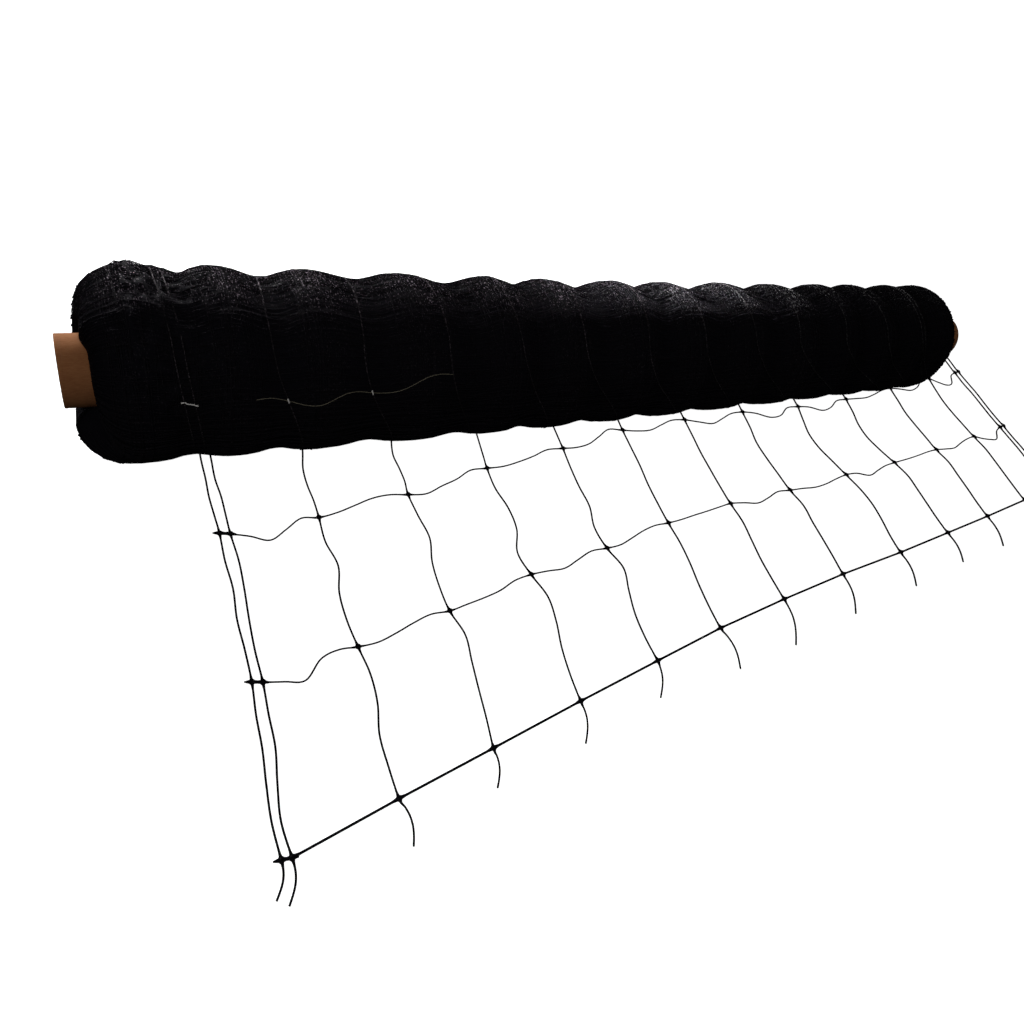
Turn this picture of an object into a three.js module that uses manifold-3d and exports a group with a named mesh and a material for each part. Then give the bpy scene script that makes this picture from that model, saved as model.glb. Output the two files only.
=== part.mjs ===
// A roll of trellis netting: black plastic net wound on a cardboard tube, its loose end spread on the floor.
// Millimetres. +X runs along the roll to its thin end, +Z is up, and the loose end lies towards -Y.
// The origin is on the floor under the middle of the roll, on the flat strip that the roll rests on.
import * as THREE from 'three';
import { mergeVertices } from 'three/addons/utils/BufferGeometryUtils.js';
import Module from 'manifold-3d';

const wasm = await Module();
wasm.setup();

// Driving sizes of the wound roll
const ROLL_RADIUS = 102.2; // at the origin, midway between a ridge and a valley
const ROLL_TAPER = 0.0124; // radius lost for each millimetre along +X
const RIDGE_HEIGHT = 4.6; // of a ridge above the mean radius, and of a valley below it
const UNEVENNESS = { height: 1.6, lobes: [3, 2], lengths: [90, 57] }; // of the turns, around and along the roll
const REST_PRESS = 3; // how far the roll's weight flattens its underside
const AXIS_Y = 5; // of the tube, behind the origin
const BOW = { middleX: 60, atMiddle: -8, rise: 10, span: 740 }; // of the winding's outside, along Y
const PRESSED_ANGLE = { full: 25, none: 60 }; // degrees from straight down, where ridges are pressed out
const STRAIGHT_DOWN = -90; // degrees from +Y about the roll's axis
const ROUND_SIDES = 32;
const STEPS_PER_RIDGE = 4;

// Where the lengthwise strands pile up into ridges, along the roll
const RIDGES = [-685, -584, -486, -355, -232, -139, -23, 80, 198, 317, 423, 517, 610, 690];

// The rounded ends of the roll
const SHOULDER = { length: 58, crownRadius: 62, dimple: 17, arcSteps: 6, dimpleSteps: 3 };
const OUTSIDE_RADIUS = 82; // from where the winding follows its bow
const NEAR_LEAN = { angle: 225, reach: 6 }; // the near end sticks out most low at the front; degrees from +Y
const NEAR_DENT = { angle: 160, depth: 30, full: 10, none: 70 }; // the near end is drawn back beside the tube

// The cardboard tube
const TUBE = { outerRadius: 42, bore: 76, from: -757, to: 815 };
const CLEARANCE = 0.35; // between pieces that touch
const JOIN_DISTANCE = 1e-3; // within which vertices coincide

// The net's plastic strands, as square sections that lie level on the floor
const STRAND = { along: 2.8, across: 2.4, edge: 3.4, bar: 4 };
const STRAND_STEP = 26; // length of one straight piece of a bent strand
const LIFT = 0.1; // of strands across the net, so that they lie just over those along it
const KNOT = { reach: 6.2, height: 4.4 };
const SELVAGE_GAP = 14; // between the middles of the two strands of a selvage
const SELVAGE_STUB = 8; // of a selvage bar past the outer strand
const WAVE = { along: 7, selvage: 2.5, across: 8, sag: 20 }; // swing of a strand between knots
const HUMP_SHARE = 0.84; // of a cell beside a selvage, over which its cross strand sags
const CROSS_LINES = [0, 1, 2]; // of the loose end, counted from the roll
const EDGE_LINE = 2; // the straight and thick one at the cut edge
const ROOT_SHIFT = 6; // along +X, from a strand's first knot to where it leaves the roll
const TAIL_BOW = 0.12; // of a cut tail, for each millimetre of its length

// The strands along the net: x at the second cross strand, the lean of each row towards +X, the distance of
// each cross strand in front of the origin, and the length of the cut tail and its sway along X
const STRANDS = [
  { x: -612, lean: 6, first: 172, second: 369, edge: 556, tail: 42, sway: -11 },
  { x: -494, lean: 4, first: 167, second: 354, edge: 534, tail: 50, sway: 2 },
  { x: -371, lean: 7, first: 150, second: 333, edge: 512, tail: 46, sway: -12 },
  { x: -243, lean: 8, first: 122, second: 305, edge: 487, tail: 52, sway: -16 },
  { x: -112, lean: 12, first: 102, second: 288, edge: 464, tail: 51, sway: -21 },
  { x: 11, lean: 14, first: 79, second: 264, edge: 444, tail: 62, sway: -3 },
  { x: 144, lean: 13, first: 71, second: 250, edge: 426, tail: 74, sway: -27 },
  { x: 280, lean: 11, first: 67, second: 243, edge: 410, tail: 70, sway: -25 },
  { x: 425, lean: 6, first: 68, second: 232, edge: 396, tail: 64, sway: -17 },
  { x: 561, lean: 3, first: 62, second: 222, edge: 382, tail: 58, sway: -16 },
  { x: 695, lean: 10, first: 50, second: 208, edge: 368, tail: 62, sway: -20 },
  { x: 828, lean: 12, first: 30, second: 192, edge: 352, tail: 54, sway: -15 },
  { x: 937, lean: 10, first: 20, second: 178, edge: 338, tail: 48, sway: -12 },
];

// The far corner of the net lies past the end of the roll and draws in behind it: how far each of its strands
// runs back past the first cross strand, and where it meets the roll's rounded end
const FAR_CORNER = [
  { strand: 11, back: 62, turn: 0.55, tuckX: 722, tuckY: 62 },
  { strand: 12, back: 132, turn: 0.6, tuckX: 728, tuckY: 98 },
];

const netPlastic = new THREE.MeshStandardMaterial({ color: 0x0c0c0d, roughness: 0.55, metalness: 0 });
const kraftBoard = new THREE.MeshStandardMaterial({ color: 0xa07a55, roughness: 0.9, metalness: 0 });

const meanRadius = (x) => ROLL_RADIUS - ROLL_TAPER * x;
const axisHeight = (x) => meanRadius(x) - REST_PRESS;
const outsideY = (x) => AXIS_Y + BOW.atMiddle + BOW.rise * ((x - BOW.middleX) / BOW.span) ** 2;
const { clamp, degToRad, radToDeg, smoothstep } = THREE.MathUtils;

// Radius of the ridged winding between its first and last ridge, without the unevenness
function ridgedRadius(x) {
  const next = Math.max(1, RIDGES.findIndex((ridge) => ridge >= x));
  const place = (x - RIDGES[next - 1]) / (RIDGES[next] - RIDGES[next - 1]);
  return meanRadius(x) + RIDGE_HEIGHT * Math.cos(2 * Math.PI * place);
}

// Half of a rounded end, from the last ridge out to the crown and back in to the tube; side is -1 or +1
function shoulderProfile(ridgeX, side) {
  const points = [];
  const top = ridgedRadius(ridgeX);
  for (let step = 1; step <= SHOULDER.arcSteps; step += 1) {
    const turn = (step / SHOULDER.arcSteps) * (Math.PI / 2);
    const radius = SHOULDER.crownRadius + (top - SHOULDER.crownRadius) * Math.cos(turn);
    points.push(new THREE.Vector2(radius, ridgeX + side * SHOULDER.length * Math.sin(turn)));
  }
  const bore = TUBE.outerRadius + CLEARANCE;
  for (let step = 1; step <= SHOULDER.dimpleSteps; step += 1) {
    const turn = (step / SHOULDER.dimpleSteps) * (Math.PI / 2);
    const radius = bore + (SHOULDER.crownRadius - bore) * Math.cos(turn);
    const x = ridgeX + side * (SHOULDER.length - SHOULDER.dimple * (1 - Math.cos(turn)));
    points.push(new THREE.Vector2(radius, x));
  }
  return points;
}

// Turns a lathe about its Y axis into a body along +X about the roll's axis. Its ring points are first moved by
// shape, which gets their x, their angle from +Y and their radius, and gives x, radius and a step along Y
function layAlongRoll(profile, shape) {
  const geometry = new THREE.LatheGeometry(profile, ROUND_SIDES, Math.PI / ROUND_SIDES);
  const position = geometry.getAttribute('position');
  for (let i = 0; i < position.count; i += 1) {
    const across = -position.getX(i);
    const rise = position.getZ(i);
    const angle = Math.atan2(rise, across);
    const { x, radius, stepY } = shape(position.getY(i), angle, Math.hypot(across, rise));
    const z = axisHeight(x) + radius * Math.sin(angle);
    position.setXYZ(i, x, AXIS_Y + stepY + radius * Math.cos(angle), Math.max(z, 0));
  }
  return closedPosition(geometry);
}

// Keeps a geometry's positions alone and joins the vertices that coincide
function closedPosition(geometry) {
  geometry.deleteAttribute('normal');
  geometry.deleteAttribute('uv');
  return mergeVertices(geometry, JOIN_DISTANCE);
}

// Degrees between a direction about the roll's axis and a stated angle
const degreesOff = (angle, stated) => radToDeg(Math.acos(clamp(Math.cos(angle - degToRad(stated)), -1, 1)));

// Step along +X of a point on the near end, which leans out low at the front and is drawn back beside the tube
function nearEndStep(x, angle) {
  const share = clamp((RIDGES[0] - x) / SHOULDER.length, 0, 1);
  const lean = -NEAR_LEAN.reach * Math.cos(angle - degToRad(NEAR_LEAN.angle));
  const beside = smoothstep(degreesOff(angle, NEAR_DENT.angle), NEAR_DENT.full, NEAR_DENT.none);
  return share * (lean + NEAR_DENT.depth * (1 - beside));
}

// A point of the winding: ridges and unevenness pressed out underneath, the outside bowed
function shapeWinding(x, angle, radius) {
  const outside = smoothstep(radius, SHOULDER.crownRadius, OUTSIDE_RADIUS);
  const free = smoothstep(degreesOff(angle, STRAIGHT_DOWN), PRESSED_ANGLE.full, PRESSED_ANGLE.none);
  const pressed = Math.min(radius, meanRadius(x));
  const { height, lobes, lengths } = UNEVENNESS;
  const swell = Math.sin(lobes[0] * angle + x / lengths[0]);
  const uneven = height * swell * Math.cos(lobes[1] * angle - x / lengths[1]);
  return {
    x: x + nearEndStep(x, angle),
    radius: pressed + free * (radius - pressed + outside * uneven),
    stepY: outside * (outsideY(x) - AXIS_Y),
  };
}

function woundNet() {
  const profile = [...shoulderProfile(RIDGES[0], -1)].reverse();
  for (let ridge = 0; ridge + 1 < RIDGES.length; ridge += 1) {
    for (let step = 0; step < STEPS_PER_RIDGE; step += 1) {
      const x = RIDGES[ridge] + ((RIDGES[ridge + 1] - RIDGES[ridge]) * step) / STEPS_PER_RIDGE;
      profile.push(new THREE.Vector2(ridgedRadius(x), x));
    }
  }
  const last = RIDGES[RIDGES.length - 1];
  profile.push(new THREE.Vector2(ridgedRadius(last), last), ...shoulderProfile(last, 1));
  profile.push(profile[0].clone());
  return layAlongRoll(profile, shapeWinding);
}

function coreTube() {
  const inner = TUBE.bore / 2;
  const corners = [
    [inner, TUBE.from],
    [TUBE.outerRadius, TUBE.from],
    [TUBE.outerRadius, TUBE.to],
    [inner, TUBE.to],
    [inner, TUBE.from],
  ];
  const profile = corners.map(([radius, x]) => new THREE.Vector2(radius, x));
  return layAlongRoll(profile, (x, angle, radius) => ({ x, radius, stepY: 0 }));
}

function toManifold(geometry) {
  const closed = closedPosition(geometry);
  const vertProperties = new Float32Array(closed.getAttribute('position').array);
  const triVerts = new Uint32Array(closed.index.array);
  return new wasm.Manifold(new wasm.Mesh({ numProp: 3, vertProperties, triVerts }));
}

function fromManifold(solid) {
  const { vertProperties, triVerts } = solid.getMesh();
  const geometry = new THREE.BufferGeometry();
  geometry.setAttribute('position', new THREE.BufferAttribute(vertProperties, 3));
  geometry.setIndex(new THREE.BufferAttribute(triVerts, 1));
  return geometry;
}

// One strand of square section along a run of floor points
function strand(points, thickness, lift = 0) {
  const height = lift + thickness / 2;
  const path = new THREE.CatmullRomCurve3(points.map(([x, y]) => new THREE.Vector3(x, y, height)));
  const half = thickness / 2;
  const section = new THREE.Shape([
    new THREE.Vector2(-half, -half),
    new THREE.Vector2(half, -half),
    new THREE.Vector2(half, half),
    new THREE.Vector2(-half, half),
  ]);
  const steps = Math.max(2, Math.round(path.getLength() / STRAND_STEP));
  return toManifold(new THREE.ExtrudeGeometry(section, { steps, bevelEnabled: false, extrudePath: path }));
}

// Floor points from one knot to the next, the first knot left out; swing(t) gives the sideways step [x, y]
function between(from, to, swing) {
  const steps = Math.max(2, Math.round(Math.hypot(to[0] - from[0], to[1] - from[1]) / STRAND_STEP));
  return Array.from({ length: steps }, (_, i) => {
    const t = (i + 1) / steps;
    const [stepX, stepY] = swing(t);
    return [from[0] + (to[0] - from[0]) * t + stepX, from[1] + (to[1] - from[1]) * t + stepY];
  });
}

const sWave = (t) => Math.sin(2 * Math.PI * t);
const hump = (t) => Math.sin(Math.PI * Math.min(1, t / HUMP_SHARE)) ** 2;

// The knots of one strand, on the first and second cross strand and on the cut edge
const knotsOf = ({ x, lean, first, second, edge }, offset = 0) => [
  [x + lean + offset, -first],
  [x + offset, -second],
  [x - lean + offset, -edge],
];

// Where a strand comes out from under the roll, as deep as its height allows
function rootOf(strandRow, offset) {
  const x = strandRow.x + strandRow.lean + ROOT_SHIFT + offset;
  const radius = meanRadius(x);
  const drop = axisHeight(x) - STRAND.along - CLEARANCE;
  return [x, outsideY(x) - Math.sqrt(radius ** 2 - drop ** 2)];
}

// The start of a strand: out from under the roll, or drawn in behind its far end
function leadIn(index, offset, firstKnot, swing) {
  const corner = FAR_CORNER.find((row) => row.strand === index);
  if (!corner) {
    const root = rootOf(STRANDS[index], offset);
    const share = Math.min(1, (firstKnot[1] - root[1]) / -STRANDS[0].first);
    return [root, ...between(root, firstKnot, (t) => [-swing * share * Math.sin(Math.PI * t), 0])];
  }
  const { back, turn, tuckX, tuckY } = corner;
  const turnX = tuckX + (firstKnot[0] - tuckX) * turn;
  return [
    [tuckX, tuckY - offset],
    [turnX, firstKnot[1] + back - offset],
    [firstKnot[0], firstKnot[1] + back * turn],
    firstKnot,
  ];
}

// A strand along the net, from the roll through its three knots to its cut tail
function alongStrand(index, offset, swing) {
  const row = STRANDS[index];
  const knots = knotsOf(row, offset);
  const points = leadIn(index, offset, knots[0], swing);
  for (let cell = 0; cell + 1 < knots.length; cell += 1) {
    points.push(...between(knots[cell], knots[cell + 1], (t) => [swing * sWave(t), 0]));
  }
  const [endX, endY] = knots[knots.length - 1];
  const tip = [endX + row.sway, endY - row.tail];
  points.push(...between([endX, endY], tip, (t) => [TAIL_BOW * row.tail * Math.sin(Math.PI * t), 0]));
  return strand(points, STRAND.along);
}

// A strand across the net through one knot of every strand along it
function acrossStrand(line) {
  const knots = STRANDS.map((row) => knotsOf(row)[line]);
  const points = [knots[0]];
  const straight = line === EDGE_LINE;
  for (let cell = 0; cell + 1 < knots.length; cell += 1) {
    const loose = cell === 0 || cell + 2 === knots.length;
    const swing = loose ? (t) => -WAVE.sag * hump(t) : (t) => -WAVE.across * sWave(t);
    points.push(...between(knots[cell], knots[cell + 1], (t) => [0, straight ? 0 : swing(t)]));
  }
  return strand(points, straight ? STRAND.edge : STRAND.across, LIFT);
}

// The thick bar that ties the two strands of a selvage; side is -1 at the near selvage and +1 at the far one
function selvageBar([x, y], side) {
  const inner = x - side * (SELVAGE_GAP / 2 + SELVAGE_STUB / 2);
  const outer = x + side * (SELVAGE_GAP / 2 + SELVAGE_STUB);
  return strand([[inner, y], [outer, y]], STRAND.bar, LIFT);
}

function knot([x, y]) {
  const geometry = new THREE.OctahedronGeometry(KNOT.reach);
  geometry.scale(1, 1, KNOT.height / (2 * KNOT.reach));
  geometry.translate(x, y, LIFT + KNOT.height / 2);
  return toManifold(geometry);
}

function looseNet() {
  const pieces = [];
  STRANDS.forEach((row, index) => {
    const side = index === 0 ? -1 : Number(index === STRANDS.length - 1);
    const offsets = side === 0 ? [0] : [-SELVAGE_GAP / 2, SELVAGE_GAP / 2];
    for (const offset of offsets) {
      pieces.push(alongStrand(index, offset, side === 0 ? WAVE.along : WAVE.selvage));
      pieces.push(...knotsOf(row, offset).map(knot));
    }
    if (side !== 0) pieces.push(...knotsOf(row).map((place) => selvageBar(place, side)));
  });
  CROSS_LINES.forEach((line) => pieces.push(acrossStrand(line)));
  return fromManifold(pieces.reduce((joined, piece) => joined.add(piece)));
}

function named(name, geometry, material) {
  const mesh = new THREE.Mesh(geometry, material);
  mesh.name = name;
  return mesh;
}

const roll = new THREE.Group();
roll.add(named('wound_net', woundNet(), netPlastic));
roll.add(named('core_tube', coreTube(), kraftBoard));
roll.add(named('loose_net', looseNet(), netPlastic));

export default roll;
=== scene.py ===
"""Roll of trellis netting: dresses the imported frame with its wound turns, loose net and cardboard tube."""
import bisect
import logging
import math
import random
from dataclasses import dataclass, field
from enum import Enum
from typing import Any, Mapping, Optional, Sequence, Union

import bpy
from mathutils import Matrix, Vector, noise


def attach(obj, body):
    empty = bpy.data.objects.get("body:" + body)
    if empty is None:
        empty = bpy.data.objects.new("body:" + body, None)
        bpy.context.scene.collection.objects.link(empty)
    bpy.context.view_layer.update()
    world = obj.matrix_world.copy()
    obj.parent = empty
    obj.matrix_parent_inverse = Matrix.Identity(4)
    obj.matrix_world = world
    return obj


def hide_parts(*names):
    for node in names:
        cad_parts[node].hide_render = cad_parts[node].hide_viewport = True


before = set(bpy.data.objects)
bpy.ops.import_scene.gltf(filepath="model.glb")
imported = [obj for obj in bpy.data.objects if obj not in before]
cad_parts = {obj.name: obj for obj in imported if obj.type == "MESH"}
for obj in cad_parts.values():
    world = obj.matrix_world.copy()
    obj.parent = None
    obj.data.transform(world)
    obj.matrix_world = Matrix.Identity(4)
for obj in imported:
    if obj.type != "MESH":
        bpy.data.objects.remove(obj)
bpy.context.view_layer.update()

LOG = logging.getLogger("trellis_roll")
MM = 0.001
BODY = "root"
PLASTIC_SLOT = "net_plastic"
BOARD_SLOT = "kraft_board"
FLOORWARDS = -90.0
PAST_THE_WRAP = (2.0, 3.0)
ROUND_KNOT = (1.0, 1.0, 1.0)

Colour = tuple[float, float, float]
Triple = tuple[float, float, float]
Span = tuple[float, float]
Number = Union["Wire", float, int]
Key = Union[int, str]


class Wire:
    """A node's output that takes part in Python sums; each sum adds a Math node."""

    def __init__(self, graph: "Graph", socket: bpy.types.NodeSocket) -> None:
        """Keeps the graph and the output socket."""
        self.graph = graph
        self.socket = socket

    def __add__(self, other: Number) -> "Wire":
        """Adds a value."""
        return self.graph.math("ADD", self, other)

    __radd__ = __add__

    def __sub__(self, other: Number) -> "Wire":
        """Takes a value away."""
        return self.graph.math("SUBTRACT", self, other)

    def __rsub__(self, other: Number) -> "Wire":
        """Is taken away from a value."""
        return self.graph.math("SUBTRACT", other, self)

    def __mul__(self, other: Number) -> "Wire":
        """Multiplies by a value."""
        return self.graph.math("MULTIPLY", self, other)

    __rmul__ = __mul__

    def __truediv__(self, other: Number) -> "Wire":
        """Divides by a value."""
        return self.graph.math("DIVIDE", self, other)

    def __rtruediv__(self, other: Number) -> "Wire":
        """Divides a value."""
        return self.graph.math("DIVIDE", other, self)

    def __gt__(self, other: Number) -> "Wire":
        """Gives 1 where it is greater than a value."""
        return self.graph.math("GREATER_THAN", self, other)


class Graph:
    """Adds nodes to one shader or geometry tree."""

    def __init__(self, tree: bpy.types.NodeTree) -> None:
        """Keeps the tree."""
        self.tree = tree

    def node(
        self,
        kind: str,
        settings: Optional[Mapping[str, Any]] = None,
        inputs: Optional[Mapping[Key, Any]] = None,
        out: Key = 0,
    ) -> Wire:
        """Adds one node.

        Args:
            kind: the node's type name.
            settings: the node's own settings, set first; stops are a ramp's places and colours.
            inputs: a value, a wire or a list of wires for each named or numbered socket.
            out: the output to give back.

        Returns:
            The chosen output as a wire.
        """
        made = self.tree.nodes.new(kind)
        for name, value in (settings or {}).items():
            if name == "stops":
                self._set_stops(made, value)
            else:
                setattr(made, name, value)
        for key, value in (inputs or {}).items():
            self._feed(self._pick(made.inputs, key), value)
        return Wire(self, self._pick(made.outputs, out) if made.outputs else made.inputs[0])

    def math(self, operation: str, *values: Number) -> Wire:
        """Adds a Math node on one or two values."""
        return self.node("ShaderNodeMath", {"operation": operation}, dict(enumerate(values)))

    def vector(self, operation: str, *values: Any) -> Wire:
        """Adds a Vector Math node on two vectors."""
        return self.node("ShaderNodeVectorMath", {"operation": operation}, dict(enumerate(values)))

    def stretch(self, vector: Wire, factor: Number) -> Wire:
        """Scales a vector by one factor."""
        return self.node("ShaderNodeVectorMath", {"operation": "SCALE"}, {0: vector, "Scale": factor})

    def split(self, vector: Wire) -> tuple[Wire, Wire, Wire]:
        """Gives a vector's three parts."""
        outputs = self.node("ShaderNodeSeparateXYZ", inputs={0: vector}).socket.node.outputs
        return Wire(self, outputs[0]), Wire(self, outputs[1]), Wire(self, outputs[2])

    def join(self, x: Number, y: Number, z: Number) -> Wire:
        """Makes a vector of three parts."""
        return self.node("ShaderNodeCombineXYZ", inputs={0: x, 1: y, 2: z})

    def mix(self, factor: Number, first: Any, second: Any) -> Wire:
        """Mixes two colours."""
        inputs = {"Factor_Float": factor, "A_Color": _rgba(first), "B_Color": _rgba(second)}
        return self.node("ShaderNodeMix", {"data_type": "RGBA"}, inputs, "Result_Color")

    def speckle(self, place: Wire, scale: float, detail: float = 2.0, rough: float = 0.5) -> Wire:
        """Adds a noise texture on a place and gives its value."""
        inputs = {"Vector": place, "Scale": scale, "Detail": detail, "Roughness": rough}
        return self.node("ShaderNodeTexNoise", inputs=inputs)

    def ramp(self, value: Wire, low: float, high: float) -> Wire:
        """Maps low to 0 and high to 1, clamped."""
        inputs = {"Value": value, "From Min": low, "From Max": high}
        return self.node("ShaderNodeMapRange", {"clamp": True}, inputs)

    def bump(self, height: Wire, strength: float, depth: float) -> Wire:
        """Turns a height into a bumped normal."""
        inputs = {"Strength": strength, "Distance": depth, "Height": height}
        return self.node("ShaderNodeBump", inputs=inputs)

    def _feed(self, socket: bpy.types.NodeSocket, value: Any) -> None:
        """Links or sets one input.

        Args:
            socket: the input.
            value: a wire, a list of wires or a plain value.
        """
        if isinstance(value, Wire):
            self.tree.links.new(value.socket, socket)
        elif isinstance(value, list):
            for wire in value:
                self.tree.links.new(wire.socket, socket)
        else:
            socket.default_value = value

    @staticmethod
    def _pick(sockets: Any, key: Key) -> bpy.types.NodeSocket:
        """Finds a socket.

        Args:
            sockets: a node's inputs or outputs.
            key: the socket's number, identifier or name.

        Returns:
            The socket.
        """
        if isinstance(key, int):
            return sockets[key]
        return next((s for s in sockets if s.identifier == key), None) or sockets[key]

    @staticmethod
    def _set_stops(made: bpy.types.Node, stops: Sequence[tuple[float, Colour]]) -> None:
        """Sets a colour ramp's stops.

        Args:
            made: the colour ramp's node.
            stops: a place from 0 to 1 and a colour for each stop, in order.
        """
        elements = made.color_ramp.elements
        while len(elements) < len(stops):
            elements.new(1.0)
        for element, (place, colour) in zip(elements, stops):
            element.position = place
            element.color = _rgba(colour)


def _rgba(colour: Any) -> Any:
    """Adds an alpha to a plain colour and leaves a wire as it is."""
    return colour if isinstance(colour, Wire) else (*colour, 1.0)


def new_material(name: str) -> tuple[bpy.types.Material, Graph]:
    """Makes an empty node material.

    Args:
        name: the material's name.

    Returns:
        The material and the graph that fills it.
    """
    material = bpy.data.materials.new(name)
    material.use_nodes = True
    material.node_tree.nodes.clear()
    return material, Graph(material.node_tree)


def finish_material(graph: Graph, inputs: Mapping[Key, Any]) -> None:
    """Ends a material in one Principled shader with these inputs."""
    shader = graph.node("ShaderNodeBsdfPrincipled", inputs=inputs)
    graph.node("ShaderNodeOutputMaterial", inputs={"Surface": shader})


@dataclass(frozen=True)
class NetPlastic:
    """Black extruded plastic, drawn in streaks along the roll, with pale flecks of painted glint on its upper
    side.

    Scales are in features to the metre. The spans of upper and back are in metres, and lit_way is the
    direction that upper is measured in, up and towards the lamps behind the roll. Places along the roll,
    from ridges to bright_crests_to, are in millimetres.
    """

    name: str
    black: Colour = (0.0042, 0.0038, 0.0056)
    warm: Colour = (0.46, 0.38, 0.446)
    silver: Colour = (0.74, 0.727, 0.74)
    silver_span: Span = (-0.05, 0.3)
    silver_drift: float = 0.6
    drift_scale: float = 11.0
    drift_sway: float = 0.02
    streak_scale: Triple = (16.0, 330.0, 330.0)
    streak_detail: float = 3.0
    streak_rough: float = 0.6
    streak_edge: Span = (0.4, 0.62)
    streak_share: float = 0.5
    fleck_scale: Triple = (580.0, 260.0, 580.0)
    fleck_detail: float = 1.0
    fleck_from: float = 0.615
    fleck_edge: float = 0.06
    patch_scale: float = 12.0
    patch_detail: float = 3.0
    patch_edge: Span = (0.36, 0.66)
    patch_share: float = 0.7
    grain_relief: float = 0.6
    bump: float = 0.6
    depth: float = 0.0008
    roughness: Span = (0.78, 0.34)
    specular: float = 0.024
    upper: Span = (0.152, 0.189)
    lit_way: Triple = (0.0231, 0.5, 0.866)
    beneath: float = 0.04
    back: Span = (0.05, 0.09)
    back_thinning: float = 0.88
    gain: float = 1.6
    ridges: tuple[float, ...] = ()
    ridge_shift: float = 12.0
    near_shoulder: float = 36.0
    bright_crests_to: float = 330.0
    valley: float = 0.25
    far_crest_share: float = 0.35

    def build(self) -> bpy.types.Material:
        """Makes the material.

        Returns:
            The material, with its colour, roughness and relief from noise.
        """
        material, graph = new_material(self.name)
        place = graph.node("ShaderNodeTexCoord", out="Object")
        drift = graph.speckle(place, self.drift_scale) - 0.5
        sway = self.drift_sway * drift
        swayed = graph.vector("ADD", place, graph.join(0.0, sway, sway))
        drawn = graph.vector("MULTIPLY", swayed, self.streak_scale)
        streaks = graph.speckle(drawn, 1.0, self.streak_detail, self.streak_rough)
        grain = graph.speckle(graph.vector("MULTIPLY", place, self.fleck_scale), 1.0, self.fleck_detail)
        patches = graph.ramp(graph.speckle(place, self.patch_scale, self.patch_detail), *self.patch_edge)
        flecks = graph.ramp(grain, self.fleck_from, self.fleck_from + self.fleck_edge)
        patched = (1.0 - self.patch_share) + self.patch_share * patches
        streaked = (1.0 - self.streak_share) + self.streak_share * graph.ramp(streaks, *self.streak_edge)
        along, across, height = graph.split(place)
        # The pale flecks in the base colour are painted glints: light of the lamps behind the roll caught by
        # its strands on the upper side, warm-tinted at the near end and silver further along.
        painted_glints = self._painted_glint_strength(graph, along, across, height) * flecks * patched * streaked
        silvered = graph.ramp(along + self.silver_drift * drift, *self.silver_span)
        relief = (1.0 - self.grain_relief) * streaks + self.grain_relief * grain
        inputs = {
            "Base Color": graph.mix(painted_glints, self.black, graph.mix(silvered, self.warm, self.silver)),
            "Roughness": self.roughness[0] + (self.roughness[1] - self.roughness[0]) * flecks,
            "Normal": graph.bump(relief, self.bump, self.depth),
            "Specular IOR Level": self.specular,
        }
        finish_material(graph, inputs)
        return material

    def _painted_glint_strength(self, graph: Graph, along: Wire, across: Wire, height: Wire) -> Wire:
        """Gives how strongly the painted glints show: on the upper side, which faces the lamps behind the
        roll, thinner at the back, most beside the ridges.

        Args:
            graph: the material's nodes.
            along: the place along the roll.
            across: the place across the roll.
            height: the height over the floor.

        Returns:
            The painted glints' strength.
        """
        lit = self.lit_way[0] * along + self.lit_way[1] * across + self.lit_way[2] * height
        above = graph.ramp(lit, *self.upper)
        thinned = 1.0 - self.back_thinning * graph.ramp(across, *self.back)
        glint_level = (self.beneath + (1.0 - self.beneath) * above * above) * thinned
        return self.gain * glint_level * self._glints_on_crests(graph, along)

    def _glints_on_crests(self, graph: Graph, along: Wire) -> Number:
        """Gives the share of painted glints along the roll: all of them beside its ridges, where light
        catches the crests, fewer in the valleys and fewer again past bright_crests_to.

        Args:
            graph: the material's nodes.
            along: the place along the roll.

        Returns:
            The share, or 1 where no ridges are given.
        """
        if not self.ridges:
            return 1.0
        places = [(self.ridges[0] - self.near_shoulder, self.valley), (self.ridges[0], 1.0)]
        for before, after in zip(self.ridges, self.ridges[1:]):
            level = 1.0 if after < self.bright_crests_to else self.far_crest_share
            places += [((before + after) / 2, self.valley * level), (after, level)]
        start, end = places[0][0], places[-1][0]
        stops = [((x - start) / (end - start), (level,) * 3) for x, level in places]
        share = graph.ramp(along, (start + self.ridge_shift) * MM, (end + self.ridge_shift) * MM)
        return graph.node("ShaderNodeValToRGB", {"stops": stops}, {"Fac": share})


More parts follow.
